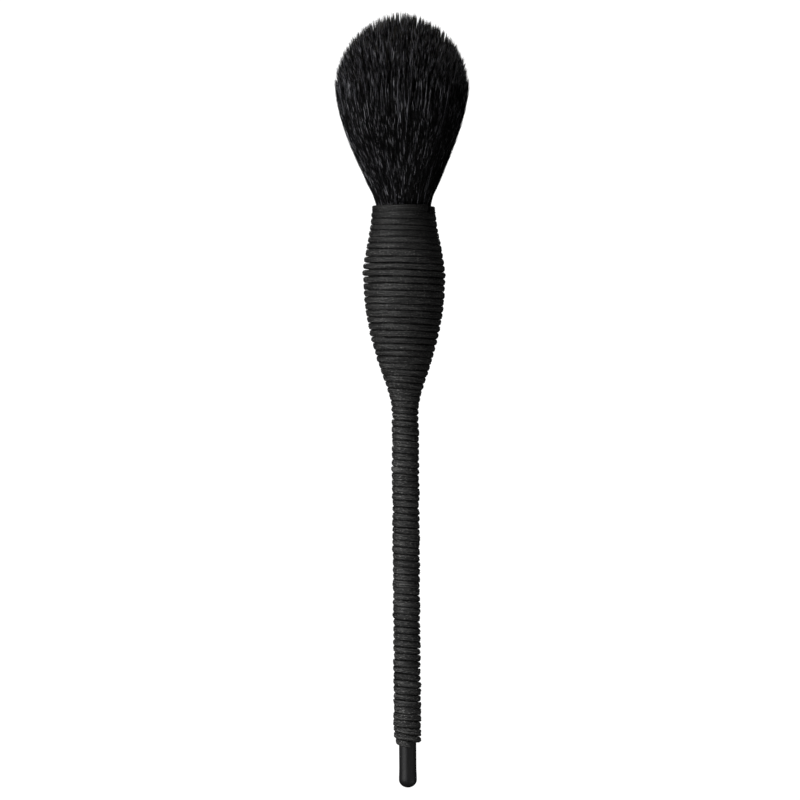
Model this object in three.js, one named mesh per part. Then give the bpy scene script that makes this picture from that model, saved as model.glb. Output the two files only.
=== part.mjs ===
// A round hair brush: a full domed tuft set in a ferrule, a turned wooden grip that swells below it and a
// slim dowel stem. Grip and stem are wound turn against turn with cane strand, and the dowel's rounded butt
// stands bare at the lower end. Millimetres, +Z up along the brush, origin at the lowest point of the butt.
import * as THREE from "three";

// Driving dimensions: lengths along the brush, from the butt upwards
const buttLength = 9.6; // bare dowel below the winding
const stemLength = 82.4; // wound dowel
const gripLength = 46.2; // from the neck to the mouth that the tuft stands in
const tuftLength = 45.8; // hair that shows above the mouth

// Dowel
const dowelRadius = 2.05;
const buttFullness = 0.08; // the lacquered butt is this much fuller than the dowel where its rounding starts
const buttRounding = 1.9; // height of the rounding
const buttTaper = 2.8; // above the rounding, where the fullness falls back to the dowel
const leadIn = 0.5; // chamfer on edges that are pushed into a bore

// Turned grip
const gripWidestRadius = 8.55;
const gripWidestHeight = 28.5; // above the neck
const neckEase = 3; // reach of the soft bend at the neck, up and down
const rimWall = 0.6; // thinnest wood left round a bore at either end
const boreFloor = 7; // wood left between the dowel's bore and the ferrule's

// Ferrule
const ferruleRadius = 6.35;
const ferruleWall = 0.25;
const ferruleLength = 14.5;
const ferruleDrop = 0.4; // the rim lies this far below the top of the winding

// Tuft
const tuftWidestRadius = 15.3;
const tuftWidestHeight = 29; // above the mouth
const tuftLeaveAngle = 23.4; // half angle of the cone of hair at the mouth, degrees
const coneReach = 14; // how far up the cone pulls the outline
const swellReach = 9; // how far below the widest place the outline is pulled upright, and above it
const domeReach = 8; // how far out the top of the dome is pulled
const domeDrop = 0.8; // and how far it has come down there
const tuftRootDepth = 11; // hair below the mouth
const tiePinch = 1.3; // how far the thread pulls the root in
const tieHeight = 1.6; // lowest turn of thread above the root's end
const rootSpread = 0.3; // how far the root spreads again below the thread

// Thread and resin that hold the root
const threadDiameter = 0.5;
const threadPitch = 0.56;
const threadTurns = 4.5;
const resinCupHeight = 1; // resin that has crept up round the root

// Cane strand
const strandWidth = 1.5;
const strandThickness = 1.1;
const strandGap = 0.07; // between turns
const cutGap = 0.3; // between the cut ends of strands
const seamAngle = 326; // where round the mouth the ring is cut and the strand below it starts, degrees
const tailAngle = 290; // where the strand ends above the butt, degrees
const leadShare = 0.12; // the strand starts this share of its width and widens in its first turn
const gripFacets = 16; // straight steps in one turn on the grip
const stemFacets = 12;

// Clearances
const glueFilm = 0.05; // under the strand, and round whatever sits in a bore
const endGap = 0.3; // at the bottom of a bore, and between two pieces end to end
const smoothFacets = 32;
const dowelFacets = 24;
const quarterHandle = 0.552; // handle of a Bezier curve that draws a round quarter, as a share of its radius

// Places worked out from them
const neckHeight = buttLength + stemLength;
const mouthHeight = neckHeight + gripLength;
const ferruleTop = mouthHeight - ferruleDrop;
const ferruleBottom = ferruleTop - ferruleLength;
const ferruleBore = ferruleRadius - ferruleWall;
const insideFerrule = ferruleBore * Math.cos(Math.PI / smoothFacets) - glueFilm;
const tieRadius = insideFerrule - tiePinch;
const rootEndRadius = tieRadius + rootSpread;
const rootEnd = mouthHeight - tuftRootDepth;
const dowelBoreRadius = clearOf(dowelRadius, smoothFacets);
const ferruleBoreRadius = clearOf(ferruleRadius, smoothFacets);
const strandPitch = strandWidth + strandGap;

// Corner radius of a polygon whose flats clear a round piece by the glue film.
function clearOf(radius, facets) {
  return (radius + glueFilm) / Math.cos(Math.PI / facets);
}

// Radius of the body under the winding: straight along the stem, a quarter sine wave from the neck to the
// widest point of the grip, and half a cosine wave from there in to the ferrule at the mouth. A parabola
// eases the bend at the neck, so that the flat back of a strand bridges it within the glue film.
function bodyRadius(z) {
  const aboveNeck = z - neckHeight;
  if (aboveNeck <= -neckEase) return dowelRadius;
  if (aboveNeck < gripWidestHeight) {
    const eased = aboveNeck < neckEase ? (aboveNeck + neckEase) ** 2 / (4 * neckEase) : aboveNeck;
    const rise = Math.sin((Math.PI / 2) * (eased / gripWidestHeight));
    return dowelRadius + (gripWidestRadius - dowelRadius) * rise;
  }
  const share = (aboveNeck - gripWidestHeight) / (gripLength - gripWidestHeight);
  const fall = (1 + Math.cos(Math.PI * share)) / 2;
  return ferruleRadius + (gripWidestRadius - ferruleRadius) * fall;
}

// The wood stops at each end where the wall round its bore comes down to the rim wall.
const rimRise = (dowelBoreRadius + rimWall - dowelRadius) / (gripWidestRadius - dowelRadius);
const rimEased = gripWidestHeight * (2 / Math.PI) * Math.asin(rimRise);
const gripBottom = neckHeight + 2 * Math.sqrt(neckEase * rimEased) - neckEase;
const rimShare = (ferruleBoreRadius + rimWall - ferruleRadius) / (gripWidestRadius - ferruleRadius);
const gripTop =
  neckHeight + gripWidestHeight + ((gripLength - gripWidestHeight) * Math.acos(2 * rimShare - 1)) / Math.PI;
const dowelTop = ferruleBottom - endGap - boreFloor - endGap;

// Turns a profile of [radius, height] points about the brush's axis.
function turned(profile, facets = smoothFacets) {
  const points = profile.map((p) => (Array.isArray(p) ? new THREE.Vector2(p[0], p[1]) : p));
  return new THREE.LatheGeometry(points, facets).rotateX(Math.PI / 2);
}

// The line down the body that the strand is wound on, from the mouth to the end of the stem, clear of the
// glue film.
class BodyLine extends THREE.Curve {
  getPoint(t) {
    const z = THREE.MathUtils.lerp(mouthHeight, buttLength, t);
    return new THREE.Vector2(bodyRadius(z) + glueFilm, z);
  }
}

// The middle of a strand's flat side. Turn 0 lies a length top down the given line, and each turn goes once
// round and down by rise, with the strand's width lying along the line and its thickness standing out of the
// surface. A strand with a lead starts at that share of its width, and its upper edge stays level until it
// has widened.
class WoundLine extends THREE.Curve {
  constructor(line, { top, rise, first, last, facets, angle = 0, lead = 1, width = 0 }) {
    super();
    Object.assign(this, { line, top, rise, first, last, facets, angle, lead, width });
    this.lineLength = line.getLength();
  }

  get steps() {
    return Math.round((this.last - this.first) * this.facets);
  }

  // Where the strand is at t, and which ways are out of the surface, down the line and on along the strand.
  lay(t) {
    const turn = THREE.MathUtils.lerp(this.first, this.last, t);
    const angle = THREE.MathUtils.degToRad(this.angle) + turn * 2 * Math.PI;
    const share = this.lead < 1 ? Math.min(1, this.lead + (turn * this.rise) / this.width) : 1;
    const u = (this.top + turn * this.rise + ((1 - share) * this.width) / 2) / this.lineLength;
    const spot = this.line.getPointAt(u);
    const down = this.line.getTangentAt(u);
    const at = (r, z) => new THREE.Vector3(r * Math.cos(angle), r * Math.sin(angle), z);
    return {
      place: at(spot.x / Math.cos(Math.PI / this.facets), spot.y),
      outward: at(-down.y, down.x),
      downward: at(down.x, down.y).multiplyScalar(share),
      along: new THREE.Vector3(-Math.sin(angle), Math.cos(angle), 0),
    };
  }

  getPoint(t) {
    return this.lay(t).place;
  }

  // Equal steps of angle, so that the facets of every turn line up.
  getPointAt(u) {
    return this.getPoint(u);
  }

  computeFrenetFrames(steps) {
    const laid = Array.from({ length: steps + 1 }, (_, i) => this.lay(i / steps));
    return {
      tangents: laid.map((l) => l.along),
      normals: laid.map((l) => l.outward),
      binormals: laid.map((l) => l.downward),
    };
  }
}

function wound(section, path) {
  return new THREE.ExtrudeGeometry(section, { steps: path.steps, extrudePath: path });
}

// Cane split to a flat back, with a rounded ridge outside: x is the thickness, y the width.
function strandSection() {
  const half = strandWidth / 2;
  return new THREE.Shape([
    new THREE.Vector2(0, -half),
    new THREE.Vector2(strandThickness * 0.55, -half * 0.84),
    new THREE.Vector2(strandThickness, 0),
    new THREE.Vector2(strandThickness * 0.55, half * 0.84),
    new THREE.Vector2(0, half),
  ]);
}

// Dowel: one rod from the rounded butt to its seat deep in the grip.
function stemDowel() {
  const profile = new THREE.Path();
  const buttRadius = dowelRadius + buttFullness;
  const side = buttRounding * (1 - quarterHandle);
  profile.moveTo(0, 0);
  profile.bezierCurveTo(buttRadius * quarterHandle, 0, buttRadius, side, buttRadius, buttRounding);
  profile.lineTo(dowelRadius, buttRounding + buttTaper);
  profile.lineTo(dowelRadius, dowelTop - leadIn);
  profile.lineTo(dowelRadius - leadIn, dowelTop);
  profile.lineTo(0, dowelTop);
  return turned(profile.getPoints(5), dowelFacets);
}

// Grip: a turned swelling, bored from below for the dowel and from above for the ferrule.
function gripCore() {
  const rows = 22;
  const outside = Array.from({ length: rows + 1 }, (_, i) => {
    const z = THREE.MathUtils.lerp(gripBottom, gripTop, i / rows);
    return [bodyRadius(z), z];
  });
  return turned([
    [0, dowelTop + endGap],
    [dowelBoreRadius, dowelTop + endGap],
    [dowelBoreRadius, gripBottom],
    ...outside,
    [ferruleBoreRadius, gripTop],
    [ferruleBoreRadius, ferruleBottom - endGap],
    [0, ferruleBottom - endGap],
  ]);
}

// Ferrule: a short straight tube with a rolled rim inside its mouth.
function ferrule() {
  return turned([
    [ferruleBore, ferruleBottom],
    [ferruleRadius, ferruleBottom],
    [ferruleRadius, ferruleTop - ferruleWall],
    [ferruleRadius - ferruleWall / 2, ferruleTop],
    [ferruleBore, ferruleTop - ferruleWall / 2],
    [ferruleBore, ferruleBottom],
  ]);
}

// Tuft: tied root, straight in the ferrule, a cone that swells out of the mouth and a domed crown.
function hairTuft() {
  const tieTop = rootEnd + tieHeight + threadPitch * (threadTurns + 1);
  const coneSlope = Math.tan(THREE.MathUtils.degToRad(tuftLeaveAngle));
  const coneSide = insideFerrule + coneReach * coneSlope;
  const widest = mouthHeight + tuftWidestHeight;
  const top = mouthHeight + tuftLength;
  const profile = new THREE.Path();
  profile.moveTo(0, rootEnd);
  profile.lineTo(rootEndRadius, rootEnd);
  profile.lineTo(tieRadius, rootEnd + tieHeight - threadDiameter);
  profile.lineTo(tieRadius, tieTop);
  profile.lineTo(insideFerrule, tieTop + tiePinch * 2);
  profile.lineTo(insideFerrule, mouthHeight);
  const swell = [tuftWidestRadius, widest - swellReach, tuftWidestRadius, widest];
  profile.bezierCurveTo(coneSide, mouthHeight + coneReach, ...swell);
  profile.bezierCurveTo(tuftWidestRadius, widest + swellReach, domeReach, top - domeDrop, 0, top);
  return turned(profile.getPoints(9));
}

// Thread: cotton wound tightly round the root.
function rootThread() {
  const section = new THREE.Shape();
  section.absarc(threadDiameter / 2, 0, threadDiameter / 2, 0, 2 * Math.PI, false);
  const radius = tieRadius + glueFilm;
  const bottom = rootEnd + tieHeight;
  const top = bottom + threadPitch * threadTurns;
  const line = new THREE.LineCurve(new THREE.Vector2(radius, top), new THREE.Vector2(radius, bottom));
  const path = new WoundLine(line, { top: 0, rise: threadPitch, first: 0, last: threadTurns, facets: 12 });
  return new THREE.ExtrudeGeometry(section, { steps: path.steps, extrudePath: path, curveSegments: 3 });
}

// Resin: a hard plug in the bottom of the ferrule, dished round the end of the root.
function rootResin() {
  const dish = clearOf(rootEndRadius, smoothFacets);
  return turned([
    [0, ferruleBottom],
    [insideFerrule, ferruleBottom],
    [insideFerrule, rootEnd + resinCupHeight],
    [dish, rootEnd + resinCupHeight],
    [dish, rootEnd - glueFilm],
    [0, rootEnd - glueFilm],
  ]);
}

// Every strand is laid on one line down the body. The collar ring lies level in the first place below the
// mouth. One winding starts beneath it and runs to the tail, and it is cut at the neck, where the stem's
// strand takes over.
const bodyLine = new BodyLine();
bodyLine.arcLengthDivisions = 2000;
const lineLength = bodyLine.getLength();
const neckStep = Math.round((bodyLine.arcLengthDivisions * gripLength) / (gripLength + stemLength));
const neckLength = bodyLine.getLengths()[neckStep];
const windingTop = strandPitch / 2 + strandGap + leadShare * strandWidth;
const woundLength = lineLength - strandWidth / 2 - windingTop;
const tailShare = THREE.MathUtils.euclideanModulo(tailAngle - seamAngle, 360) / 360;
const tailTurn = Math.floor(woundLength / strandPitch - tailShare) + tailShare;
const windingRise = woundLength / tailTurn; // turns spread by a hair, so that the tail reaches the bare butt
const neckTurn = (neckLength - windingTop) / windingRise;

// Half the gap at a cut, as a share of the turn that it is cut from.
function cutShare(radius) {
  return cutGap / 2 / (2 * Math.PI * radius);
}

function collarRing() {
  const cut = cutShare(ferruleRadius);
  const ends = { first: cut, last: 1 - cut };
  const place = { top: strandPitch / 2, rise: 0, angle: seamAngle, facets: smoothFacets };
  return wound(strandSection(), new WoundLine(bodyLine, { ...place, ...ends }));
}

function winding(first, last, facets) {
  const place = { top: windingTop, rise: windingRise, angle: seamAngle };
  const taper = { lead: leadShare, width: strandWidth };
  return wound(strandSection(), new WoundLine(bodyLine, { ...place, ...taper, first, last, facets }));
}

const finishes = {
  lacqueredWood: { color: "#1b1b1c", roughness: 0.42, metalness: 0 },
  stainedWood: { color: "#171513", roughness: 0.75, metalness: 0 },
  dyedCane: { color: "#2a2a2a", roughness: 0.62, metalness: 0 },
  aluminium: { color: "#b9bcc0", roughness: 0.35, metalness: 1 },
  goatHair: { color: "#111114", roughness: 0.55, metalness: 0 },
  cotton: { color: "#d9d2c0", roughness: 0.9, metalness: 0 },
  resin: { color: "#9a6a2a", roughness: 0.3, metalness: 0 },
};

function piece(name, geometry, finish) {
  const mesh = new THREE.Mesh(geometry, new THREE.MeshStandardMaterial(finishes[finish]));
  mesh.name = name;
  return mesh;
}

const brush = new THREE.Group();
brush.add(
  piece("stem_dowel", stemDowel(), "lacqueredWood"),
  piece("grip_core", gripCore(), "stainedWood"),
  piece("ferrule", ferrule(), "aluminium"),
  piece("hair_tuft", hairTuft(), "goatHair"),
  piece("root_thread", rootThread(), "cotton"),
  piece("root_resin", rootResin(), "resin"),
  piece("collar_ring", collarRing(), "dyedCane"),
  piece("grip_winding", winding(0, neckTurn - cutShare(dowelRadius), gripFacets), "dyedCane"),
  piece("stem_winding", winding(neckTurn + cutShare(dowelRadius), tailTurn, stemFacets), "dyedCane"),
);

export default brush;
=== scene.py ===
import math
import time

import bpy
import numpy as np
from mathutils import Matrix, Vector


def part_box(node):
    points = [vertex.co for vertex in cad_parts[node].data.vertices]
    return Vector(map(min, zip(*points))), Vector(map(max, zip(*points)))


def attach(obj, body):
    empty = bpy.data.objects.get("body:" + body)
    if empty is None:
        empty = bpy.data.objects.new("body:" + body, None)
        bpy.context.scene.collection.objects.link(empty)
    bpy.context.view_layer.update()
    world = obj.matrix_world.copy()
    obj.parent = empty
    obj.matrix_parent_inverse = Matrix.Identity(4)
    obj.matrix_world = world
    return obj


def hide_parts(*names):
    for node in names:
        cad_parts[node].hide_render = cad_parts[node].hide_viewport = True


# Round hair brush, standing on its butt. Metres, +Z up along the brush, seen from -Y.
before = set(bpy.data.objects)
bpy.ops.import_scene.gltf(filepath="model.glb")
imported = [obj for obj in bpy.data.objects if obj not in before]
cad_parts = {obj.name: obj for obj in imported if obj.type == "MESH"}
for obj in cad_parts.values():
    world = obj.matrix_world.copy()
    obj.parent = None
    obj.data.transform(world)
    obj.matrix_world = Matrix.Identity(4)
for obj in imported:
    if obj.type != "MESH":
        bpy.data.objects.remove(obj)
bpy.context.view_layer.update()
started = time.time()
mm = 0.001


# A line for each stage that is done
def report(stage):
    print(f"brush: {stage}, {time.time() - started:.1f} s")


def boxSize(name):
    low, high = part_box(name)
    return high - low


# Heights along the brush and radii of the body under the winding, from the frame and the part's own sizes
heights = {
    "butt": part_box("stem_dowel")[0].z,
    "tail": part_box("stem_winding")[0].z,
    "neck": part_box("grip_core")[0].z - 1.67 * mm,  # the wood starts this far above the neck
    "mouth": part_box("collar_ring")[1].z,
    "crown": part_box("hair_tuft")[1].z,
}
body = {
    "dowel": 2.05 * mm,
    "ferrule": boxSize("ferrule").x / 2,
    "widest": boxSize("grip_core").x / 2,
    "widestHeight": 28.5 * mm,  # above the neck
    "ease": 3 * mm,  # reach of the soft bend at the neck
}


# sRGB to linear: above 0.04 a channel is ((c + 0.055) / 1.055) to the power 2.4, and below it c / 12.92
def linear(hexColour):
    channels = [int(hexColour[i : i + 2], 16) / 255 for i in (1, 3, 5)]
    return tuple(((c + 0.055) / 1.055) ** 2.4 if c > 0.04 else c / 12.92 for c in channels) + (1,)


# Links come from a socket, or from the first output of a node that is in use
def wire(tree, node, links):
    for key, source in links.items():
        if isinstance(source, bpy.types.Node):
            source = next(output for output in source.outputs if output.enabled)
        tree.links.new(source, node.inputs[key])


def addNode(tree, kind, settings, links=None):
    new = tree.nodes.new(kind)
    for key, value in settings.items():
        if key == "stops":  # of a colour ramp
            points = new.color_ramp.elements
            while len(points) < len(value):
                points.new(0.5)
            for point, (place, colour) in zip(points, value):
                point.position, point.color = place, linear(colour)
        elif isinstance(key, str) and hasattr(new, key):
            setattr(new, key, value)
        else:
            new.inputs[key].default_value = value
    wire(tree, new, links or {})
    return new


def newMaterial(name, **sockets):
    made = bpy.data.materials.new(name)
    made.use_nodes = True
    surface = made.node_tree.nodes["Principled BSDF"]
    for key, value in sockets.items():
        surface.inputs[key.replace("_", " ")].default_value = value
    return made, made.node_tree, surface


# A smooth random line: values from -1 to 1 set every spacing along span, joined by half cosine waves
def wander(rng, span, spacing):
    knots = rng.uniform(-1, 1, int(span / spacing) + 4)

    def value(x):
        place = np.clip(x, 0, span) / spacing
        low = np.floor(place).astype(int)
        share = (1 - np.cos(np.pi * (place - low))) / 2
        return knots[low] * (1 - share) + knots[low + 1] * share

    return value


# 3 x^2 - 2 x^3, held at 0 below 0 and at 1 above 1
def smoothStep(x):
    x = np.clip(x, 0, 1)
    return x * x * (3 - 2 * x)


# points are places, corners the vertex numbers of all faces in a row, and sizes how many each face has
def meshPiece(name, points, corners, sizes, material, replaced=(), uv=None):
    data = bpy.data.meshes.new(name)
    data.vertices.add(len(points))
    data.vertices.foreach_set("co", np.ascontiguousarray(points, np.float32).ravel())
    data.loops.add(len(corners))
    data.loops.foreach_set("vertex_index", np.ascontiguousarray(corners, np.int32))
    data.polygons.add(len(sizes))
    starts = np.concatenate([[0], np.cumsum(sizes)[:-1]]).astype(np.int32)
    data.polygons.foreach_set("loop_start", starts)
    data.polygons.foreach_set("use_smooth", np.ones(len(sizes), bool))
    data.materials.append(material)
    if uv is not None:
        layer = data.uv_layers.new(name="strand")
        layer.data.foreach_set("uv", np.ascontiguousarray(uv, np.float32).ravel())
    data.update(calc_edges=True)
    data.validate()
    piece = bpy.data.objects.new(name, data)
    bpy.context.scene.collection.objects.link(piece)
    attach(piece, "root")
    if replaced:
        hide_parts(*replaced)
    return piece


view = {
    "distance": 0.95,  # long lens, level with the middle of the brush
    "height": 92.0 * mm,
    "aside": -1.2 * mm,
    "frameWidth": 189.9 * mm,  # width of the picture where the brush stands
    "tiltDegrees": 0.43,
    "sensor": 36,
}


# Level, and turned a little about its own line of sight
def makeCamera():
    data = bpy.data.cameras.new("camera")
    data.sensor_width = view["sensor"]
    data.lens = view["sensor"] * view["distance"] / view["frameWidth"]
    data.clip_end = 50
    camera = bpy.data.objects.new("camera", data)
    camera.location = (view["aside"], -view["distance"], view["height"])
    camera.rotation_euler = (math.pi / 2, math.radians(view["tiltDegrees"]), 0)
    bpy.context.scene.collection.objects.link(camera)
    bpy.context.scene.camera = camera


# Softboxes: azimuth is degrees round from the front, minus to the left; each is aimed at a height of the
# brush, and its power is in watts
lights = {
    "key": {
        "azimuth": -48,
        "elevation": 12,
        "distance": 0.8,
        "at": 0.095,
        "width": 0.3,
        "height": 0.7,
        "power": 7.8,
    },
    "fill": {
        "azimuth": 62,
        "elevation": -30,
        "distance": 0.25,
        "at": 0.025,
        "width": 0.2,
        "height": 0.15,
        "power": 0.14,
    },
    "top": {
        "azimuth": 20,
        "elevation": 78,
        "distance": 0.3,
        "at": 0.17,
        "width": 0.2,
        "height": 0.2,
        "power": 0.22,
    },
    "back": {
        "azimuth": 180,
        "elevation": 30,
        "distance": 0.8,
        "at": 0.1,
        "width": 0.4,
        "height": 0.6,
        "power": 5,
    },
}


# A lamp stands at its distance from its aim point, in the direction of its azimuth and elevation
def makeLights():
    for name, box in lights.items():
        data = bpy.data.lights.new(name, "AREA")
        data.shape = "RECTANGLE"
        data.size, data.size_y, data.energy = box["width"], box["height"], box["power"]
        light = bpy.data.objects.new(name, data)
        a, e = math.radians(box["azimuth"]), math.radians(box["elevation"])
        away = Vector((math.sin(a) * math.cos(e), -math.cos(a) * math.cos(e), math.sin(e)))
        light.location = Vector((0, 0, box["at"])) + away * box["distance"]
        light.rotation_euler = away.to_track_quat("Z", "Y").to_euler()
        bpy.context.scene.collection.objects.link(light)


studio = {"radius": 6, "white": "#ffffff", "glow": 1.1, "world": "#ffffff", "worldGlow": 0.045}


def makeStudio():
    # pale floor and a pale dome round it, which only the camera sees, so that black surfaces keep dark edges
    sockets = {
        "Base_Color": linear("#000000"),
        "Roughness": 1,
        "Specular_IOR_Level": 0,
        "Emission_Color": linear(studio["white"]),
        "Emission_Strength": studio["glow"],
    }
    white = newMaterial("pale_paper_sweep", **sockets)[0]
    bpy.ops.mesh.primitive_uv_sphere_add(segments=48, ring_count=24, radius=studio["radius"])
    dome = bpy.context.object
    dome.name = "backdrop"
    bpy.ops.mesh.primitive_circle_add(vertices=64, radius=studio["radius"] / 2, fill_type="NGON")
    floor = bpy.context.object
    floor.name = "floor"
    floor.location.z = heights["butt"]
    for part in (dome, floor):
        part.data.materials.append(white)
        part.visible_diffuse = part.visible_glossy = part.visible_transmission = part.visible_shadow = False
    world = bpy.data.worlds.new("studio")
    world.use_nodes = True
    sky = world.node_tree.nodes["Background"]
    sky.inputs["Color"].default_value = linear(studio["world"])
    sky.inputs["Strength"].default_value = studio["worldGlow"]
    bpy.context.scene.world = world
    bpy.context.scene.view_settings.view_transform = "Standard"



def dyedCane():
    # Split cane dyed black: a matt fibrous skin with long streaks. Pale flecks are painted into its colour as
    # glints, a painted highlight, where the same noise makes the skin glossier and pitted, and the colour is
    # darkened along both edges as painted shade in the seams between turns. Cane fibres are 0.1 mm across,
    # and are drawn three times as coarse so that they show
    made, tree, surface = newMaterial("black_dyed_split_cane", IOR=1.5, Specular_IOR_Level=0.34)
    uv = addNode(tree, "ShaderNodeUVMap", {"uv_map": "strand"})  # in millimetres, along and across
    patterns = {  # repeats in a millimetre along and across, then detail and roughness of the noise
        "streaks": ((0.2, 3.4, 1), 4, 0.7),
        "flecks": ((2.0, 4.4, 1), 4, 0.7),
        "patches": ((0.12, 0.45, 1), 2, 0.5),
        "paintedSeamWaves": ((0.14, 0.22, 1), 3, 0.6),
    }
    noise = {}
    for key, (scale, detail, roughness) in patterns.items():
        place = addNode(tree, "ShaderNodeMapping", {"Scale": scale}, {"Vector": uv})
        settings = {"Scale": 1, "Detail": detail, "Roughness": roughness}
        noise[key] = addNode(tree, "ShaderNodeTexNoise", settings, {"Vector": place})
    stops = [(0.4, "#050505"), (0.47, "#151515"), (0.53, "#272727"), (0.61, "#4a4a49")]
    streakTone = addNode(tree, "ShaderNodeValToRGB", {"stops": stops}, {"Fac": noise["streaks"]})
    # painted highlight: pale flecks mixed into the colour stand in for glints, and the same noise makes them
    # glossier below
    ends = {"From Min": 0.56, "From Max": 0.63, "To Min": 0, "To Max": 0.8}
    paintedFleckGlints = addNode(tree, "ShaderNodeMapRange", ends, {"Value": noise["flecks"]})
    settings = {"data_type": "RGBA", 7: linear("#7c7b79")}
    tone = addNode(tree, "ShaderNodeMix", settings, {0: paintedFleckGlints, 6: streakTone})
    ends = {"From Min": 0.3, "From Max": 0.7, "To Min": 0.7, "To Max": 1.3}
    patch = addNode(tree, "ShaderNodeMapRange", ends, {"Value": noise["patches"]})
    # distance from the middle of the strand, in millimetres, and the painted shade of the seams beyond it
    across = addNode(tree, "ShaderNodeSeparateXYZ", {}, {"Vector": uv})
    settings = {"operation": "SUBTRACT", 1: 0.75}
    offset = addNode(tree, "ShaderNodeMath", settings, {0: across.outputs["Y"]})
    side = addNode(tree, "ShaderNodeMath", {"operation": "ABSOLUTE"}, {0: offset})
    # painted shade: the colour darkens to 0.3 of itself towards both edges of the strand, where the seams
    # between turns lie
    settings = {"operation": "MULTIPLY_ADD", 1: 2.0}
    wavy = addNode(tree, "ShaderNodeMath", settings, {0: noise["paintedSeamWaves"], 2: side})
    ends = {"From Min": 1.5, "From Max": 1.78, "To Min": 1, "To Max": 0.3}
    paintedSeamShade = addNode(tree, "ShaderNodeMapRange", ends, {"Value": wavy})
    # painted light and shade by height: the colour is full on the stem, a little darker on the grip and much
    # darker at the mouth, standing in for how the light falls on each
    position = addNode(tree, "ShaderNodeTexCoord", {}).outputs["Object"]
    height = addNode(tree, "ShaderNodeSeparateXYZ", {}, {"Vector": position})
    stops = [(0.0, "#ffffff"), (0.085, "#ffffff"), (0.1, "#dadada"), (0.126, "#e0e0e0"), (0.134, "#9a9a9a")]
    paintedHeightLight = addNode(tree, "ShaderNodeValToRGB", {"stops": stops}, {"Fac": height.outputs["Z"]})
    shade = addNode(tree, "ShaderNodeMath", {"operation": "MULTIPLY"}, {0: patch, 1: paintedSeamShade})
    shade = addNode(tree, "ShaderNodeMath", {"operation": "MULTIPLY"}, {0: shade, 1: paintedHeightLight})
    final = addNode(tree, "ShaderNodeVectorMath", {"operation": "SCALE"}, {0: tone, 3: shade})
    ends = {"From Min": 0.48, "From Max": 0.62, "To Min": 0.64, "To Max": 0.34}
    rough = addNode(tree, "ShaderNodeMapRange", ends, {"Value": noise["flecks"]})
    settings = {"Strength": 0.9, "Distance": 0.12 * mm}
    grain = addNode(tree, "ShaderNodeBump", settings, {"Height": noise["streaks"]})
    settings = {"Strength": 1.0, "Distance": 0.16 * mm}
    pits = addNode(tree, "ShaderNodeBump", settings, {"Height": noise["flecks"], "Normal": grain})
    wire(tree, surface, {"Base Color": final, "Roughness": rough, "Normal": pits})
    return made


# Finishes of the plainer pieces. Sockets are the shader's own, grain is how often the pattern repeats in a
# metre across and up, and the pattern runs from the first to the second tone and roughness
plainFinishes = {
    # Wood brushed with black lacquer: a satin skin that lies thinly over long pores
    "dowel": {
        "name": "black_lacquered_wood",
        "sockets": {"Specular_IOR_Level": 0.3},
        "grain": (2600, 160),
        "detail": 3,
        "tones": ("#121213", "#1c1c1d"),
        "roughness": (0.5, 0.58),
        "depth": 0.03 * mm,
    },
    # Turned beech stained black where it lies under the winding: open grain with a dull surface
    "core": {
        "name": "black_stained_beech",
        "sockets": {},
        "grain": (1500, 90),
        "detail": 4,
        "tones": ("#0c0b0a", "#1a1816"),
        "roughness": (0.68, 0.82),
        "depth": 0.05 * mm,
    },
    # Aluminium tube as drawn: bright with fine lines along it
    "tube": {
        "name": "drawn_aluminium",
        "sockets": {"Metallic": 1.0},
        "grain": (6000, 120),
        "detail": 2,
        "tones": ("#a9abae", "#c6c8cb"),
        "roughness": (0.28, 0.42),
        "depth": 0.01 * mm,
    },
    # Cotton thread drawn through wax: pale soft strands with a dull surface
    "thread": {
        "name": "waxed_cotton_thread",
        "sockets": {},
        "grain": (900, 5000),
        "detail": 3,
        "tones": ("#a89f8a", "#d9d2c0"),
        "roughness": (0.7, 0.88),
        "depth": 0.06 * mm,
    },
    # Hair packed tight inside the tuft: hardly any light comes out between the hairs
    "heart": {
        "name": "packed_goat_hair",
        "sockets": {"Specular_IOR_Level": 0.1},
        "grain": (4000, 250),
        "detail": 3,
        "tones": ("#010102", "#08080a"),
        "roughness": (0.65, 0.85),
        "depth": 0.1 * mm,
    },
    # Epoxy poured round the root: amber with cloudy streaks
    "resin": {
        "name": "poured_amber_epoxy",
        "sockets": {"IOR": 1.55},
        "grain": (420, 420),
        "detail": 3,
        "tones": ("#6b4312", "#a87432"),
        "roughness": (0.18, 0.3),
        "depth": 0.01 * mm,
    },
}


def plainFinish(key):
    finish = plainFinishes[key]
    made, tree, surface = newMaterial(finish["name"], **finish["sockets"])
    position = addNode(tree, "ShaderNodeTexCoord", {}).outputs["Object"]
    across, up = finish["grain"]
    place = addNode(tree, "ShaderNodeMapping", {"Scale": (across, across, up)}, {"Vector": position})
    grain = addNode(tree, "ShaderNodeTexNoise", {"Scale": 1, "Detail": finish["detail"]}, {"Vector": place})
    stops = list(zip((0.34, 0.66), finish["tones"]))
    tone = addNode(tree, "ShaderNodeValToRGB", {"stops": stops}, {"Fac": grain})
    smooth, rough = finish["roughness"]
    ends = {"From Min": 0.3, "From Max": 0.7, "To Min": smooth, "To Max": rough}
    gloss = addNode(tree, "ShaderNodeMapRange", ends, {"Value": grain})
    settings = {"Strength": 0.4, "Distance": finish["depth"]}
    skin = addNode(tree, "ShaderNodeBump", settings, {"Height": grain})
    wire(tree, surface, {"Base Color": tone, "Roughness": gloss, "Normal": skin})
    return made


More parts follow.
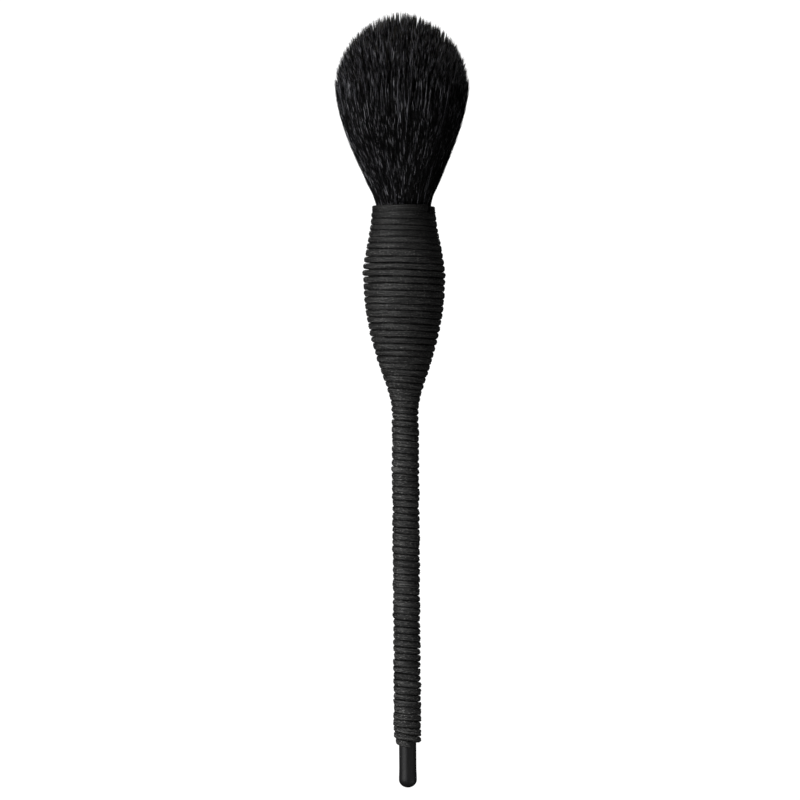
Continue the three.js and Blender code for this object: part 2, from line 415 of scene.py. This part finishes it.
def goatHair():
    # Goat hair dyed black: near-black scaled hair with a soft gloss. Each hair has a shade of its own, with
    # long paler glints painted into its colour as highlights, and tips near the crown where the dye has worn
    # to brown. A hair is 0.07 mm across and is made twice as thick so that it shows
    made, tree, surface = newMaterial("black_dyed_goat_hair", IOR=1.55, Specular_IOR_Level=0.14)
    # the map holds the hair's own number, and millimetres from its tip
    uv = addNode(tree, "ShaderNodeUVMap", {"uv_map": "strand"})
    parts = addNode(tree, "ShaderNodeSeparateXYZ", {}, {"Vector": uv})
    stops = [(0.0, "#010101"), (0.5, "#040405"), (0.78, "#070709"), (0.92, "#1b1b1e"), (0.985, "#707076")]
    shaft = addNode(tree, "ShaderNodeValToRGB", {"stops": stops}, {"Fac": parts.outputs["X"]})
    place = addNode(tree, "ShaderNodeMapping", {"Scale": (5000, 0.2, 1)}, {"Vector": uv})
    settings = {"Scale": 1, "Detail": 1, "Roughness": 0.5}
    glints = addNode(tree, "ShaderNodeTexNoise", settings, {"Vector": place})
    # painted highlight: paler stretches along each hair are mixed into its colour as glints; the same noise
    # sets roughness and bump
    ends = {"From Min": 0.63, "From Max": 0.69, "To Min": 0, "To Max": 1}
    paintedGlintShare = addNode(tree, "ShaderNodeMapRange", ends, {"Value": glints})
    settings = {"data_type": "RGBA", 7: linear("#9a9a9f")}
    tone = addNode(tree, "ShaderNodeMix", settings, {0: paintedGlintShare, 6: shaft})
    # a hair is worn if its own noise passes a limit that comes down towards the crown
    settings = {"noise_dimensions": "1D", "Scale": 900, "Detail": 0}
    own = addNode(tree, "ShaderNodeTexNoise", settings, {"W": parts.outputs["X"]})
    position = addNode(tree, "ShaderNodeTexCoord", {}).outputs["Object"]
    height = addNode(tree, "ShaderNodeSeparateXYZ", {}, {"Vector": position})
    ends = {"From Min": 0.165, "From Max": 0.184, "To Min": 0.8, "To Max": 0.5}
    limit = addNode(tree, "ShaderNodeMapRange", ends, {"Value": height.outputs["Z"]})
    isWorn = addNode(tree, "ShaderNodeMath", {"operation": "GREATER_THAN"}, {0: own, 1: limit})
    ends = {"From Min": 0.3, "From Max": 1.4, "To Min": 0.9, "To Max": 0}
    atTip = addNode(tree, "ShaderNodeMapRange", ends, {"Value": parts.outputs["Y"]})
    tipShare = addNode(tree, "ShaderNodeMath", {"operation": "MULTIPLY"}, {0: isWorn, 1: atTip})
    settings = {"data_type": "RGBA", 7: linear("#3c382b")}
    final = addNode(tree, "ShaderNodeMix", settings, {0: tipShare, 6: tone})
    ends = {"From Min": 0.3, "From Max": 0.7, "To Min": 0.52, "To Max": 0.36}
    rough = addNode(tree, "ShaderNodeMapRange", ends, {"Value": glints})
    settings = {"Strength": 0.5, "Distance": 0.03 * mm}
    scales = addNode(tree, "ShaderNodeBump", settings, {"Height": glints})
    wire(tree, surface, {"Base Color": final, "Roughness": rough, "Normal": scales})
    return made


# One cane strand laid turn against turn
strand = {
    "width": 1.5 * mm,
    "thickness": 1.1 * mm,
    "gap": 0.07 * mm,
    "film": 0.05 * mm,
    "leadShare": 0.12,  # the strand starts this share of its width
    "seamDegrees": 326,
    "tailDegrees": 290,
    "sides": 20,  # points over the outside of a section
    "fill": 0.985,  # share of the room between its edges that it takes up, and its back takes up less
    "backFill": 0.97,
    "grooves": (-0.55, -0.1, 0.32, 0.7),  # places of the fibre lines across the strand, from -1 to 1
    "grooveWidth": 0.09,
    "grooveDepth": 0.18 * mm,
    "fleckDepth": 0.028 * mm,
}
strandPitch = strand["width"] + strand["gap"]


# Radius of the body under the winding: straight on the stem, a quarter sine wave up to the widest place,
# half a cosine wave in to the mouth, and a parabola that eases the bend at the neck
def bodyRadius(z):
    above = z - heights["neck"]
    reach = body["ease"]
    eased = np.where(above < -reach, 0, np.where(above < reach, (above + reach) ** 2 / (4 * reach), above))
    swell = np.sin(np.pi / 2 * np.clip(eased / body["widestHeight"], 0, 1))
    span = heights["mouth"] - heights["neck"] - body["widestHeight"]
    fall = (1 + np.cos(np.pi * np.clip((above - body["widestHeight"]) / span, 0, 1))) / 2
    lower = body["dowel"] + (body["widest"] - body["dowel"]) * swell
    upper = body["ferrule"] + (body["widest"] - body["ferrule"]) * fall
    return np.where(above < body["widestHeight"], lower, upper)


# Length down the body from the mouth, with the radius and height there and the direction down
def bodyLine():
    z = np.linspace(heights["mouth"], heights["tail"] - 3 * mm, 8000)
    r = bodyRadius(z) + strand["film"]
    length = np.concatenate([[0], np.cumsum(np.hypot(np.diff(r), np.diff(z)))])
    downR, downZ = np.gradient(r, length), np.gradient(z, length)
    return {"length": length, "r": r, "z": z, "downR": downR, "downZ": downZ}


line = bodyLine()
neckLength = float(np.interp(-heights["neck"], -line["z"], line["length"]))
tailLength = float(np.interp(-heights["tail"], -line["z"], line["length"]))
# the first turn starts below the collar band, and its upper edge stays level while it grows to its full width
levelEdge = strandPitch + strand["gap"] / 2
firstEdge = levelEdge + strand["leadShare"] * strand["width"]
tailShare = ((strand["tailDegrees"] - strand["seamDegrees"]) % 360) / 360
tailTurn = math.floor((tailLength - firstEdge) / strandPitch - tailShare + 0.5) + tailShare
rise = (tailLength - firstEdge) / tailTurn
neckTurn = (neckLength - firstEdge) / rise
frontTurn = tailTurn - (strand["tailDegrees"] - 270) / 360  # where the last turn passes the front

windRng = np.random.default_rng(11)
windSpan = int(tailTurn) + 3
edgeWander = wander(windRng, windSpan, 0.42)
wideWander = wander(windRng, windSpan, 1.7)
thickWander = wander(windRng, windSpan, 0.47)
squareWander = wander(windRng, windSpan, 0.6)
liftWander = wander(windRng, windSpan, 0.38)
tiltWander = wander(windRng, windSpan, 0.7)
grooveWander = [wander(windRng, windSpan, 0.5) for _ in strand["grooves"]]
grooveFade = [wander(windRng, windSpan, 0.35) for _ in strand["grooves"]]


# How far the line between two turns strays from an even helix
drift = {
    "wander": 0.11 * mm,
    "first": (0.2 * mm, 0.4 * mm),  # under the first turn, before and after it meets its own start
    "steep": 0.26 * mm,
}


# Random waves, a swell under the first turn, and a wave once round that makes the last turns steeper at the
# front
def stray(turn):
    waves = drift["wander"] * (0.75 * edgeWander(turn) + 0.45 * wideWander(turn)) * smoothStep(turn / 1.5)
    low, high = drift["first"]
    first = (low + (high - low) * smoothStep((turn - 0.4) / 0.6)) * (1 - smoothStep((turn - 1.2) / 3))
    steep = drift["steep"] * np.sin(2 * np.pi * (turn - frontTurn))
    steep = steep * smoothStep((turn - tailTurn + 3.6) / 1.5)
    return waves * (1 - smoothStep(turn - tailTurn + 1)) + np.where(turn < 0, 0, first) + steep


# Lower and upper edge of the strand, as lengths down the body. The first turn fills the room below the collar
# band until it meets its own start, and each later turn lies against the one before
def strandEdges(turn):
    start = firstEdge + stray(np.zeros(1))[0]
    lower = firstEdge + turn * rise + stray(turn)
    first = levelEdge + (start - levelEdge) * smoothStep((turn - 0.96) / 0.04)
    before = np.maximum(turn - 1, 0)
    return lower, np.where(turn < 1, first, firstEdge + before * rise + stray(before))


# A strand carried along turn, once round for each 1. With x from -1 to 1 across it, the outside stands out by
# the height of its pressed side walls plus the rest of the thickness times (1 - |x|^n)^(1/n), a superellipse
# that is squarer the higher n is, less the fibre grooves
def woundStrand(name, turn, lower, upper, shape, rng, replaced):
    count = len(turn)
    angle = math.radians(strand["seamDegrees"]) + turn * 2 * np.pi
    down = (lower + upper) / 2
    half = (lower - upper)[:, None] / 2
    r, z, downR, downZ = (np.interp(down, line["length"], line[k]) for k in ("r", "z", "downR", "downZ"))
    outR, outZ = -downZ, downR
    x = np.sin(np.linspace(-np.pi / 2, np.pi / 2, strand["sides"]))[None, :]
    n = shape["square"][:, None]
    wall = shape["wall"][:, None]
    out = (wall + (1 - wall) * np.clip(1 - np.abs(x) ** n, 0, 1) ** (1 / n)) * shape["thickness"][:, None]
    top = (1 - x**2) ** 0.5
    for place, shift, fade in zip(strand["grooves"], shape["grooveShift"], shape["grooveFade"]):
        groove = np.exp(-(((x - place - shift[:, None]) / strand["grooveWidth"]) ** 2))
        out = out - strand["grooveDepth"] * shape["rough"][:, None] * fade[:, None] * groove * top
    flecks = rng.normal(0, 1, out.shape)
    flecks = (flecks + np.roll(flecks, 1, 0)) * 0.7
    out = out + strand["fleckDepth"] * shape["rough"][:, None] * flecks * top
    across = x * half * strand["fill"]
    back = np.array([[1, -1]]) * strand["backFill"] * half
    across = np.concatenate([across, back], 1)
    out = np.concatenate([out, np.zeros_like(back)], 1)
    out = out + across * np.tan(shape["tilt"][:, None]) + shape["lift"][:, None]
    rr = r[:, None] + out * outR[:, None] + across * downR[:, None]
    zz = z[:, None] + out * outZ[:, None] + across * downZ[:, None]
    points = np.stack([rr * np.cos(angle)[:, None], rr * np.sin(angle)[:, None], zz], 2)
    around = points.shape[1]
    i = np.arange(count - 1)[:, None] * around
    j = np.arange(around)[None, :]
    k = (j + 1) % around
    quads = np.stack([i + j, i + k, i + around + k, i + around + j], 2).reshape(-1, 4)
    ends = [np.arange(around)[::-1], (count - 1) * around + np.arange(around)]
    corners = np.concatenate([quads.ravel(), *ends])
    sizes = np.concatenate([np.full(len(quads), 4), [around, around]])
    # the map runs along and across the strand, in millimetres
    run = np.concatenate([[0], np.cumsum(np.diff(angle) * r[1:])]) / mm
    wide = strand["width"] / mm
    # over the outside, then the two corners of the back
    girth = np.concatenate([(x[0] + 1) * wide / 2, [wide * 1.2, wide * 1.7]])
    edge = np.append(girth, wide * 2)
    u = np.broadcast_to(run[:, None], (count, around))
    v = np.broadcast_to(np.stack([edge[:-1], edge[1:], edge[1:], edge[:-1]], 1), (count - 1, around, 4))
    uvQuads = np.stack([np.stack([u[:-1], u[:-1], u[1:], u[1:]], 2), v], 3).reshape(-1, 2)
    uvEnds = [np.stack([np.full(around, run[e[0] // around]), girth[e % around]], 1) for e in ends]
    uv = np.concatenate([uvQuads, *uvEnds])
    return meshPiece(name, points.reshape(-1, 3), corners, sizes, caneFinish, replaced, uv=uv)


# Turns that stand off their neighbours: height, direction in degrees, strength, and reach in turns
looseTurns = [
    (123.6 * mm, 180, 1, 0.3),
    (120.7 * mm, 0, 0.8, 0.25),
    (122.0 * mm, 180, 1, 0.3),
    (125.3 * mm, 180, 0.7, 0.25),
]
# How the strand lies. A stray is what a random line from -1 to 1 adds, and a loose value is what a loose turn
# adds; the stem was wound by a less even pull, so it adds to the strays
lay = {
    "square": 2.5,  # power of the superellipse
    "squareStray": 0.5,
    "wall": 0.46,  # pressed side walls, as a share of the thickness
    "wallStray": 0.16,
    "stemWallStray": 0.16,
    "looseWall": -0.35,
    "wallEnds": (0.05, 0.92),
    "mouthWall": 0.12,  # turns press on each other a little more at the mouth and round the neck
    "mouthStart": 36,  # millimetres above the neck
    "neckWall": 0.16,
    "nearEnd": 7,  # millimetres over which either changes
    "thick": 1.03,  # of the strand's thickness
    "thickStray": 0.05,
    "looseThick": 0.1,
    "looseNarrow": 0.06,  # loose turns draw back from their neighbours
    "lift": 0.05 * mm,
    "liftStray": 0.045 * mm,
    "stemLiftStray": 0.05 * mm,
    "looseLift": 0.08 * mm,
    "tiltDegrees": 5,
    "tailRough": 0.8,  # the strand is rougher in its last turns, and pared thinner before its cut end
    "tailThin": 0.42,
    "lip": 0.35,  # thickness left at the cut end, which rounds it
}


# A stretch of the winding, from turn first to turn last
def wound(name, first, last, perTurn, seed, replaced):
    turn = np.linspace(first, last, int((last - first) * perTurn))
    lower, upper = strandEdges(turn)
    loose = np.zeros_like(turn)
    for z, degrees, strength, reach in looseTurns:
        loose = loose + strength * np.exp(-(((turn - turnAt(z, degrees)) / reach) ** 2))
    narrower = lay["looseNarrow"] * loose * (lower - upper) / 2
    lower, upper = lower - narrower, upper + narrower
    above = (np.interp(lower, line["length"], line["z"]) - heights["neck"]) / mm
    nearMouth = smoothStep((above - lay["mouthStart"]) / lay["nearEnd"])
    nearNeck = np.exp(-(((above - 1) / lay["nearEnd"]) ** 2))
    wall = lay["wall"] + lay["mouthWall"] * nearMouth + lay["neckWall"] * nearNeck
    onStem = 1 - smoothStep((above + 2) / 6)
    wall = wall + (lay["wallStray"] + lay["stemWallStray"] * onStem) * squareWander(turn + 1.7)
    thick = lay["thick"] + lay["thickStray"] * (1 + onStem) * thickWander(turn) + lay["looseThick"] * loose
    ending = smoothStep((turn - tailTurn + 0.62) / 0.3)
    thick = thick * (1 - lay["tailThin"] * ending)
    lip = smoothStep((tailTurn - turn) / 0.012)
    lift = (lay["liftStray"] + lay["stemLiftStray"] * onStem) * liftWander(turn)
    shape = {
        "square": lay["square"] + lay["squareStray"] * squareWander(turn),
        "wall": np.clip(wall + lay["looseWall"] * loose, *lay["wallEnds"]),
        "thickness": strand["thickness"] * thick * (lay["lip"] + (1 - lay["lip"]) * lip),
        "lift": lift + lay["lift"] + lay["looseLift"] * loose,
        "tilt": math.radians(lay["tiltDegrees"]) * (1 + onStem) * tiltWander(turn),
        "rough": 1 + lay["tailRough"] * smoothStep((turn - tailTurn + 2.6) / 1.2),
        "grooveShift": [0.16 * g(turn) for g in grooveWander],
        "grooveFade": [np.clip(0.55 + 0.75 * g(turn), 0, 1) for g in grooveFade],
    }
    return woundStrand(name, turn, lower, upper, shape, np.random.default_rng(seed), replaced)


# The turn that passes nearest to a height in a direction
def turnAt(z, degrees):
    length = np.interp(-z, -line["z"], line["length"])
    share = ((degrees - strand["seamDegrees"]) % 360) / 360
    return round((length - firstEdge) / rise - share) + share


# One level turn of strand at the mouth, cut where it meets itself; the end behind the cut sits a little lower
collar = {
    "cut": 0.9 * mm,
    "drop": 0.34 * mm,
    "dropTurn": 0.2,
    "inset": 0.05 * mm,  # its upper edge lies this far below the mouth
    "overlap": 0.06 * mm,  # and its lower edge this far past the winding's first edge
    "stray": 0.03,  # of its upper edge in millimetres, and of its thickness as a share
    "square": 2.6,
    "wall": 0.72,
    "thick": 0.98,
    "lift": 0.02 * mm,
    "tiltDegrees": 2,
    "lip": 0.6,  # thickness left at the cut ends
    "perTurn": 240,
}


# The same strand as the winding's, carried once round with a level lower edge
def collarBand():
    rng = np.random.default_rng(3)
    cut = collar["cut"] / 2 / (2 * np.pi * (body["ferrule"] + strand["thickness"]))
    turn = np.linspace(cut, 1 - cut, collar["perTurn"])
    swing = wander(rng, 3, 0.16)
    drop = collar["drop"] * (1 - smoothStep((turn - collar["dropTurn"]) / 0.15))
    upper = collar["inset"] + drop + collar["stray"] * mm * swing(turn)
    lower = levelEdge + collar["overlap"] + drop * 0.7
    lip = smoothStep((turn - cut) / 0.004) * smoothStep((1 - cut - turn) / 0.004)
    ones = np.ones_like(turn)
    thick = collar["thick"] + collar["stray"] * swing(turn + 1)
    thick = thick * (collar["lip"] + (1 - collar["lip"]) * lip)
    shape = {
        "square": collar["square"] * ones,
        "wall": collar["wall"] * ones,
        "thickness": strand["thickness"] * thick,
        "lift": collar["lift"] * ones,
        "tilt": math.radians(collar["tiltDegrees"]) * swing(turn + 0.5),
        "rough": ones,
        "grooveShift": [0.1 * g(turn) for g in grooveWander],
        "grooveFade": [np.clip(0.5 + 0.6 * g(turn + 1.3), 0, 1) for g in grooveFade],
    }
    return woundStrand("collar_band", turn, lower, upper, shape, rng, ["collar_ring"])


butt = {"fullness": 0.08 * mm, "rounding": 1.9 * mm, "taper": 2.8 * mm, "chamfer": 0.5 * mm, "sides": 96}


# A profile turned about the axis: an elliptical quarter at the end, a shallow taper and a straight rod
def buttRod():
    full = body["dowel"] + butt["fullness"]
    a = np.linspace(0, np.pi / 2, 18)[1:]
    share = np.linspace(0, 1, 14)[1:]
    end = np.concatenate([butt["rounding"] * (1 - np.cos(a)), butt["rounding"] + share * butt["taper"]])
    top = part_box("stem_dowel")[1].z
    z = np.append(heights["butt"] + end, [heights["tail"], heights["neck"], top - butt["chamfer"], top])
    narrowing = full - butt["fullness"] * smoothStep(share)
    rod = [body["dowel"]] * 3 + [body["dowel"] - butt["chamfer"]]
    r = np.concatenate([full * np.sin(a), narrowing, rod])
    replaced = ["stem_dowel"]
    return turnedPiece("butt_rod", r, z, butt["sides"], plainFinish("dowel"), replaced)


# Rings of radius r at height z, closed at both ends by a fan to a point on the axis
def turnedPiece(name, r, z, sides, material, replaced):
    angle = np.arange(sides) * 2 * np.pi / sides
    r = r if r.ndim == 2 else np.repeat(r[:, None], sides, 1)
    rings = np.stack([r * np.cos(angle), r * np.sin(angle), np.repeat(z[:, None], sides, 1)], 2)
    low, high = z[0], z[-1]
    points = np.concatenate([rings.reshape(-1, 3), [[0, 0, low], [0, 0, high]]])
    i = np.arange(len(r) - 1)[:, None] * sides
    j = np.arange(sides)[None, :]
    k = (j + 1) % sides
    quads = np.stack([i + j, i + k, i + sides + k, i + sides + j], 2).reshape(-1, 4)
    n = len(r) * sides
    bottom = np.stack([np.full(sides, n), k[0], j[0]], 1)
    last = (len(r) - 1) * sides
    upper = np.stack([np.full(sides, n + 1), last + j[0], last + k[0]], 1)
    corners = np.concatenate([quads.ravel(), bottom.ravel(), upper.ravel()])
    sizes = np.concatenate([np.full(len(quads), 4), np.full(2 * sides, 3)])
    return meshPiece(name, points, corners, sizes, material, replaced)


# Hairs fan out of the mouth in small clumps whose tips draw together. Only their outer lengths are made: each
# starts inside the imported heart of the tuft
tuft = {
    "locks": 10,
    "firstSeed": 40,
    "rings": 6,  # along a hair
    "leaveDegrees": 23.4,
    "coneReach": 14 * mm,
    "widestHeight": 29 * mm,
    "swellReach": 9 * mm,
    "domeReach": 8 * mm,
    "domeDrop": 0.8 * mm,
    "crownRise": 0.7 * mm,  # the longest tips pass the even dome by this
    "crownShort": (0.85 * mm, 3.2 * mm),  # and clumps are shorter by this, on average and at most
    "domeSwell": 0.15 * mm,
    "lowestTip": 1 * mm,
    "sideInset": 0.22 * mm,
    "sideStray": 0.1 * mm,
    "domeDeep": 0.9 * mm,  # how deep under the surface a hair starts
    "sideDeep": (0.2 * mm, 0.7 * mm),
    "clumpRadius": 0.6 * mm,  # at its start
    "clumpLeanDegrees": 1.4,
    "hairLeanDegrees": 1.3,
    "wave": 0.05 * mm,
    "looseShare": 0.5,  # of the clumps, which stand off the rest towards their tips
    "looseBy": (0.1 * mm, 0.7 * mm),
    "looseFrom": 7 * mm,  # above the mouth
    "clumpShade": 0.03,  # what a clump's hairs have in common in their number
    "lean": -0.2 * mm,  # the whole tuft leans a little to the left
}
# Clumps of a lock, hairs in a clump, width, the length that is made, how much shorter than its clump a hair
# is on average, spread towards the axis against spread aside, and what its number gains
hairKinds = {
    "dome": {
        "clumps": 310,
        "inClump": 10,
        "width": 0.15 * mm,
        "length": (11 * mm, 20 * mm),
        "shorter": 0.22 * mm,
        "depth": 1,
        "shade": 0.045,
    },
    "side": {
        "clumps": 740,
        "inClump": 3,
        "width": 0.13 * mm,
        "length": (10 * mm, 24 * mm),
        "shorter": 1.2 * mm,
        "depth": 0.35,
        "shade": -0.03,
    },
}
tuftLength = heights["crown"] - heights["mouth"]
tuftRadius = boxSize("hair_tuft").x / 2
mouthRadius = body["ferrule"] - 0.4 * mm


# A cubic curve: each of four points weighted by the cube of its share and the products between
def bezier(ends, steps):
    t = np.linspace(0, 1, steps)[:, None]
    p = np.array(ends)
    return (1 - t) ** 3 * p[0] + 3 * t * (1 - t) ** 2 * p[1] + 3 * t * t * (1 - t) * p[2] + t**3 * p[3]


coneSide = mouthRadius + tuft["coneReach"] * math.tan(math.radians(tuft["leaveDegrees"]))
sideCurve = bezier(
    [
        (mouthRadius, 0),
        (coneSide, tuft["coneReach"]),
        (tuftRadius, tuft["widestHeight"] - tuft["swellReach"]),
        (tuftRadius, tuft["widestHeight"]),
    ],
    200,
)
domeCurve = bezier(
    [
        (tuftRadius, tuft["widestHeight"]),
        (tuftRadius, tuft["widestHeight"] + tuft["swellReach"]),
        (tuft["domeReach"], tuftLength - tuft["domeDrop"]),
        (0, tuftLength),
    ],
    200,
)


# Radius of the tuft at a height of its side, above the mouth
def sideRadius(z):
    return np.interp(z, sideCurve[:, 1], sideCurve[:, 0])


# Places on a curve turned about the axis, even over its area: the share of area grows with radius times
# length
def evenOver(curve, share):
    middle = (curve[1:] + curve[:-1]) / 2
    area = np.cumsum(middle[:, 0] * np.hypot(*np.diff(curve, axis=0).T))
    return (np.interp(share * area[-1], area, middle[:, k]) for k in (0, 1))


# Three-sided tubes along path, an array of hairs by rings by 3, that end in a point and are closed at the
# root: a ring's point is path + radius (aside cos turn + other sin turn)
def hairTubes(name, path, radius, number):
    hairs, rings, _ = path.shape
    tangent = np.gradient(path, axis=1)
    tangent /= np.linalg.norm(tangent, axis=2, keepdims=True)
    aside = np.cross(tangent, np.array([1e-3, 1.0, 1e-3]))  # no hair lies along this direction
    aside /= np.linalg.norm(aside, axis=2, keepdims=True)
    other = np.cross(tangent, aside)
    turn = np.arange(3) * 2 * np.pi / 3
    ring = aside[:, :, None] * np.cos(turn)[:, None] + other[:, :, None] * np.sin(turn)[:, None]
    tube = path[:, :-1, None] + ring[:, :-1] * radius[:, :-1, None, None]
    each = (rings - 1) * 3 + 1
    points = np.concatenate([tube.reshape(hairs, -1, 3), path[:, -1:]], 1)
    i = np.arange(rings - 2)[:, None] * 3
    j = np.arange(3)[None, :]
    k = (j + 1) % 3
    quads = np.stack([i + j, i + k, i + 3 + k, i + 3 + j], 2).reshape(-1, 4)
    last = (rings - 2) * 3
    tips = np.stack([last + j[0], last + k[0], np.full(3, each - 1)], 1)
    one = np.concatenate([quads.ravel(), tips.ravel(), [2, 1, 0]])
    sizes = np.tile(np.concatenate([np.full(len(quads), 4), np.full(4, 3)]), hairs)
    corners = (np.arange(hairs)[:, None] * each + one[None, :]).ravel()
    # the map holds the hair's own number, moved a little from side to side so that no face is flat in it, and
    # millimetres from the tip
    steps = np.linalg.norm(np.diff(path, axis=1), axis=2)
    toTip = np.concatenate([np.cumsum(steps[:, ::-1], 1)[:, ::-1], np.zeros((hairs, 1))], 1) / mm
    ringOf = np.append(np.repeat(np.arange(rings - 1), 3), rings - 1)
    sideOf = np.append(np.tile([0, 1, 2], rings - 1), 1)
    u = number[:, None] + sideOf[one][None, :] * 1e-5
    uv = np.stack([u, toTip[:, ringOf[one]]], 2).reshape(-1, 2)
    return meshPiece(name, points.reshape(-1, 3), corners, sizes, hairFinish, uv=uv)


# Hairs whose tips lie on the dome or on the side. At a height z a hair's distance from the axis is that of a
# straight line from its place in the mouth to its tip, plus, by the fourth power of its place, what the side
# bulges past that line; it lies deeper inside towards its start
def clumpedHairs(rng, sector, kind):
    own = hairKinds[kind]
    clumps, inClump, rings = own["clumps"], own["inClump"], tuft["rings"]
    n = clumps * inClump

    def forEach(values):
        return np.repeat(values, inClump)

    angle = rng.uniform(*sector, clumps)
    if kind == "dome":
        tipR, tipZ = evenOver(domeCurve, rng.uniform(0, 1, clumps))
        average, most = tuft["crownShort"]
        tipZ = tipZ + tuft["crownRise"] - np.minimum(rng.exponential(average, clumps), most)
        place = tipR / tuftRadius
        tipR = tipR + tuft["domeSwell"] * place**2
        length = rng.uniform(*own["length"], clumps)
        deep = np.full(clumps, tuft["domeDeep"])
    else:
        tipR, tipZ = evenOver(sideCurve[12:], rng.uniform(0, 1, clumps))
        place = np.ones(clumps)
        length = rng.uniform(*own["length"], clumps)
        deep = rng.uniform(*tuft["sideDeep"], clumps)
    clumpLean = np.radians(rng.normal(0, tuft["clumpLeanDegrees"], clumps))
    clumpShade = rng.normal(0, tuft["clumpShade"], clumps)
    angle, tipR, tipZ, place, length, deep = map(forEach, (angle, tipR, tipZ, place, length, deep))
    spread = rng.uniform(0, 1, n) ** 0.5 * tuft["clumpRadius"]
    way = rng.uniform(0, 2 * np.pi, n)
    tipZ = tipZ - rng.exponential(own["shorter"], n)
    if kind == "side":
        tipZ = np.maximum(tipZ, tuft["lowestTip"])
        tipR = sideRadius(tipZ) - tuft["sideInset"] + rng.normal(0, tuft["sideStray"], n)
    isLoose = forEach(rng.uniform(0, 1, clumps) < tuft["looseShare"])
    off = isLoose * rng.uniform(*tuft["looseBy"], n) * smoothStep(tipZ / tuft["looseFrom"])
    length = length * rng.uniform(0.7, 1.1, n)
    t = 1 - (1 - np.linspace(0, 1, rings)[None, :]) ** 1.3
    z = tipZ[:, None] - length[:, None] * (1 - t)
    root = place * mouthRadius
    chordTop = np.minimum(tipZ, tuft["widestHeight"])[:, None]
    chordR = sideRadius(chordTop)
    inside = np.clip(z, 0, chordTop)
    bulge = sideRadius(inside) - (mouthRadius + (chordR - mouthRadius) * inside / chordTop)
    r = root[:, None] + (tipR - root)[:, None] * np.clip(z, 0, None) / tipZ[:, None]
    r = r + bulge * (place**4)[:, None] - deep[:, None] * (1 - t) ** 1.6
    r = r + (off * place**2)[:, None] * t**4
    # the clump is loose at its start and drawn together at its tip
    gather = 0.1 + 0.9 * (1 - t) ** 0.8
    r = np.maximum(r + (spread * np.cos(way))[:, None] * gather * own["depth"], 0.01 * mm)
    lean = forEach(clumpLean) + np.radians(rng.normal(0, tuft["hairLeanDegrees"], n))
    aside = (spread * np.sin(way))[:, None] * gather - (1 - t) * (length * np.tan(lean))[:, None]
    aside = aside + rng.normal(0, tuft["wave"], n)[:, None] * np.sin(np.pi * t * 2 + way[:, None])
    a = angle[:, None] + aside / np.maximum(r, 2.5 * mm)
    shift = tuft["lean"] * smoothStep(z / (20 * mm))
    path = np.stack([r * np.cos(a) + shift, r * np.sin(a), z + heights["mouth"]], 2)
    radius = (own["width"] * rng.uniform(0.65, 1.2, n))[:, None] / 2 * (1 - 0.6 * t**2)
    number = np.clip(rng.uniform(0, 1, n) + forEach(clumpShade) + own["shade"], 0, 1)
    return path, radius, number


# Each lock fills an equal sector of the tuft
def makeTuft():
    for lock in range(tuft["locks"]):
        rng = np.random.default_rng(tuft["firstSeed"] + lock)
        sector = (2 * np.pi * lock / tuft["locks"], 2 * np.pi * (lock + 1) / tuft["locks"])
        parts = [clumpedHairs(rng, sector, kind) for kind in hairKinds]
        hairTubes(f"tuft_lock_{lock + 1}", *(np.concatenate(pair) for pair in zip(*parts)))


heart = {
    "inset": 0.9 * mm,  # from the tuft's outline
    "drop": 3 * mm,  # from its crown
    "rootDepth": 10.8 * mm,  # below the mouth
    "rootRadius": 4.7 * mm,
    "sides": 180,
    "ribs": 0.18 * mm,
    "seed": 7,
}


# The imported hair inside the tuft: its outline drawn in, with uneven ribs that run up it
def tuftHeart():
    z = np.concatenate([sideCurve[::8, 1], domeCurve[8::8, 1]])
    r = np.concatenate([sideCurve[::8, 0], domeCurve[8::8, 0]])
    r = np.maximum(r - heart["inset"] * (0.15 + 0.85 * smoothStep(z / (5 * mm))), 0.3 * mm)
    z = z - heart["drop"] * smoothStep((z - tuft["widestHeight"] + 3 * mm) / (8 * mm))
    z = np.concatenate([[-heart["rootDepth"], -1 * mm], z])
    r = np.concatenate([[heart["rootRadius"], mouthRadius - 0.14 * mm], r])
    rng = np.random.default_rng(heart["seed"])
    ribs = rng.normal(0, heart["ribs"], heart["sides"])[None, :] * smoothStep(z / (4 * mm))[:, None]
    rings = r[:, None] + ribs * np.clip(r / tuftRadius, 0, 1)[:, None]
    z = z + heights["mouth"]
    return turnedPiece("tuft_heart", rings, z, heart["sides"], plainFinish("heart"), ["hair_tuft"])


makeCamera()
makeLights()
makeStudio()
report("camera, lights and studio stand")

caneFinish, hairFinish = dyedCane(), goatHair()
# these CAD pieces keep their shape, inside the winding and the tuft
insideFinishes = {"grip_core": "core", "ferrule": "tube", "root_thread": "thread", "root_resin": "resin"}
for nodeName, finish in insideFinishes.items():
    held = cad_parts[nodeName]
    held.data.materials.clear()
    held.data.materials.append(plainFinish(finish))
report("materials mixed")

collarBand()
# the two pieces of the winding meet at the back of the neck, with a hair's gap
joinTurn = math.floor(neckTurn - 0.4) + ((90 - strand["seamDegrees"]) % 360) / 360
wound("grip_wrap", 0, joinTurn, 120, 21, ["grip_winding"])
wound("stem_wrap", joinTurn + 0.003, tailTurn, 72, 22, ["stem_winding"])
buttRod()
report("handle wound")

tuftHeart()
makeTuft()
report("hair set")

bpy.context.view_layer.update()
